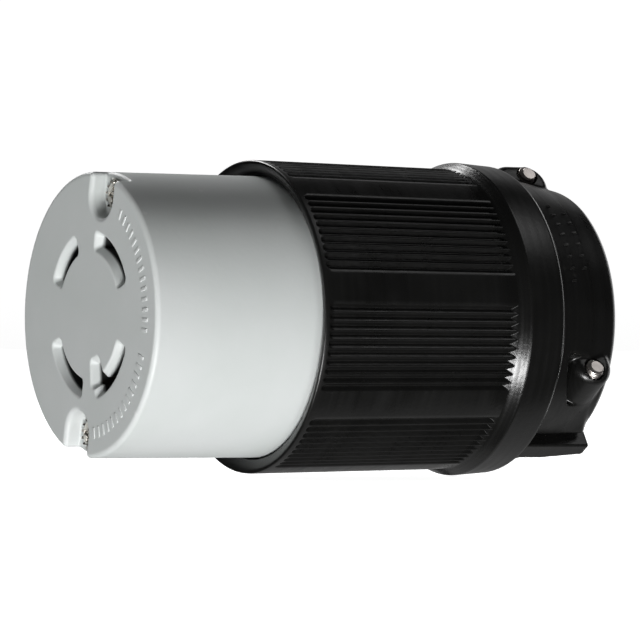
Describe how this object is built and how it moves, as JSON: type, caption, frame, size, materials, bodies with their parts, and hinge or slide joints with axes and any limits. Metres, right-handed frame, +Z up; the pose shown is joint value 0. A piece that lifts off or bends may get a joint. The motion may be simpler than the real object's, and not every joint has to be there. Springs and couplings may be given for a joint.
{
  "type": "four-wire locking cord connector",
  "caption": "Round female cord connector: light front body with curved locking slots, ribbed black housing and a two-screw cord clamp.",
  "frame": {"origin": "centre of the mating face", "axes": "+Y runs along the connector's axis from the mating face to the cord end, +Z is up as it lies on its side, +X is to the right seen from the mating side"},
  "size_m": [0.0564, 0.095, 0.0567],
  "materials": {
    "black_nylon": "satin moulded nylon, fine drawn streaks, slightly worn edges",
    "grey_face": "satin moulded thermoplastic, light grey",
    "carrier": "matt moulded thermoset",
    "brass": "bright machined brass",
    "zinc_steel": "zinc-plated steel",
    "green_screw": "green-dyed plated steel"
  },
  "bodies": {
    "connector": {"housing": "black_nylon", "front_body": "grey_face", "contact_carrier": "carrier", "contact_x": "brass", "contact_y": "brass", "contact_w": "brass", "contact_g": "brass", "housing_insert_a": "brass", "housing_insert_b": "brass"},
    "clamp_jaw": {"clamp_jaw": "black_nylon", "clamp_nut_a": "brass", "clamp_nut_b": "brass"},
    "clamp_screw_a": {"clamp_screw_a": "zinc_steel"},
    "clamp_screw_b": {"clamp_screw_b": "zinc_steel"},
    "terminal_plate_x": {"terminal_plate_x": "zinc_steel"},
    "terminal_screw_x": {"terminal_screw_x": "brass"},
    "terminal_plate_y": {"terminal_plate_y": "zinc_steel"},
    "terminal_screw_y": {"terminal_screw_y": "brass"},
    "terminal_plate_w": {"terminal_plate_w": "zinc_steel"},
    "terminal_screw_w": {"terminal_screw_w": "brass"},
    "terminal_plate_g": {"terminal_plate_g": "zinc_steel"},
    "terminal_screw_g": {"terminal_screw_g": "green_screw"},
    "assembly_washer_a": {"assembly_washer_a": "zinc_steel"},
    "assembly_screw_a": {"assembly_screw_a": "zinc_steel"},
    "assembly_washer_b": {"assembly_washer_b": "zinc_steel"},
    "assembly_screw_b": {"assembly_screw_b": "zinc_steel"}
  },
  "joints": [
    {"name": "clamp_screw_a_turn", "type": "hinge", "parent": "connector", "child": "clamp_screw_a", "pos_m": [-0.01174, 0.08905, 0.01741], "axis": [0.829, 0, 0.5592], "range_deg": [-2700, 480]},
    {"name": "clamp_screw_b_turn", "type": "hinge", "parent": "connector", "child": "clamp_screw_b", "pos_m": [0.01174, 0.08905, -0.01741], "axis": [0.829, 0, 0.5592], "range_deg": [-2700, 480]},
    {"name": "clamp_jaw_slide", "type": "slide", "parent": "connector", "child": "clamp_jaw", "axis": [0.829, 0, 0.5592], "range_m": [-0.00105, 0.00595]},
    {"name": "terminal_plate_x_slide", "type": "slide", "parent": "connector", "child": "terminal_plate_x", "axis": [-0.6293, 0, -0.7771], "range_m": [0, 0.00238]},
    {"name": "terminal_screw_x_turn", "type": "hinge", "parent": "terminal_plate_x", "child": "terminal_screw_x", "pos_m": [0, 0.0465, 0], "axis": [-0.6293, 0, -0.7771], "range_deg": [0, 1080]},
    {"name": "terminal_plate_y_slide", "type": "slide", "parent": "connector", "child": "terminal_plate_y", "axis": [0.7071, 0, -0.7071], "range_m": [0, 0.00238]},
    {"name": "terminal_screw_y_turn", "type": "hinge", "parent": "terminal_plate_y", "child": "terminal_screw_y", "pos_m": [0, 0.0465, 0], "axis": [0.7071, 0, -0.7071], "range_deg": [0, 1080]},
    {"name": "terminal_plate_w_slide", "type": "slide", "parent": "connector", "child": "terminal_plate_w", "axis": [0.6293, 0, 0.7771], "range_m": [0, 0.00238]},
    {"name": "terminal_screw_w_turn", "type": "hinge", "parent": "terminal_plate_w", "child": "terminal_screw_w", "pos_m": [0, 0.0465, 0], "axis": [0.6293, 0, 0.7771], "range_deg": [0, 1080]},
    {"name": "terminal_plate_g_slide", "type": "slide", "parent": "connector", "child": "terminal_plate_g", "axis": [-0.6691, 0, 0.7431], "range_m": [0, 0.00238]},
    {"name": "terminal_screw_g_turn", "type": "hinge", "parent": "terminal_plate_g", "child": "terminal_screw_g", "pos_m": [0, 0.0465, 0], "axis": [-0.6691, 0, 0.7431], "range_deg": [0, 1080]},
    {"name": "assembly_screw_a_slide", "type": "slide", "parent": "connector", "child": "assembly_washer_a", "axis": [0, 1, 0], "range_m": [-0.0089, 0]},
    {"name": "assembly_screw_a_turn", "type": "hinge", "parent": "assembly_washer_a", "child": "assembly_screw_a", "pos_m": [0.00404, 0, 0.02081], "axis": [0, 1, 0], "range_deg": [-4050, 0]},
    {"name": "assembly_screw_b_slide", "type": "slide", "parent": "connector", "child": "assembly_washer_b", "axis": [0, 1, 0], "range_m": [-0.0089, 0]},
    {"name": "assembly_screw_b_turn", "type": "hinge", "parent": "assembly_washer_b", "child": "assembly_screw_b", "pos_m": [-0.00404, 0, -0.02081], "axis": [0, 1, 0], "range_deg": [-4050, 0]}
  ],
  "couplings": [
    {"joint": "clamp_screw_a_turn", "follows": "clamp_jaw_slide", "rad_per_m": -7913.3},
    {"joint": "clamp_screw_b_turn", "follows": "clamp_jaw_slide", "rad_per_m": -7913.3},
    {"joint": "terminal_screw_x_turn", "follows": "terminal_plate_x_slide", "rad_per_m": 7913.3},
    {"joint": "terminal_screw_y_turn", "follows": "terminal_plate_y_slide", "rad_per_m": 7913.3},
    {"joint": "terminal_screw_w_turn", "follows": "terminal_plate_w_slide", "rad_per_m": 7913.3},
    {"joint": "terminal_screw_g_turn", "follows": "terminal_plate_g_slide", "rad_per_m": 7913.3},
    {"joint": "assembly_screw_a_turn", "follows": "assembly_screw_a_slide", "rad_per_m": 7913.3},
    {"joint": "assembly_screw_b_turn", "follows": "assembly_screw_b_slide", "rad_per_m": 7913.3}
  ]
}
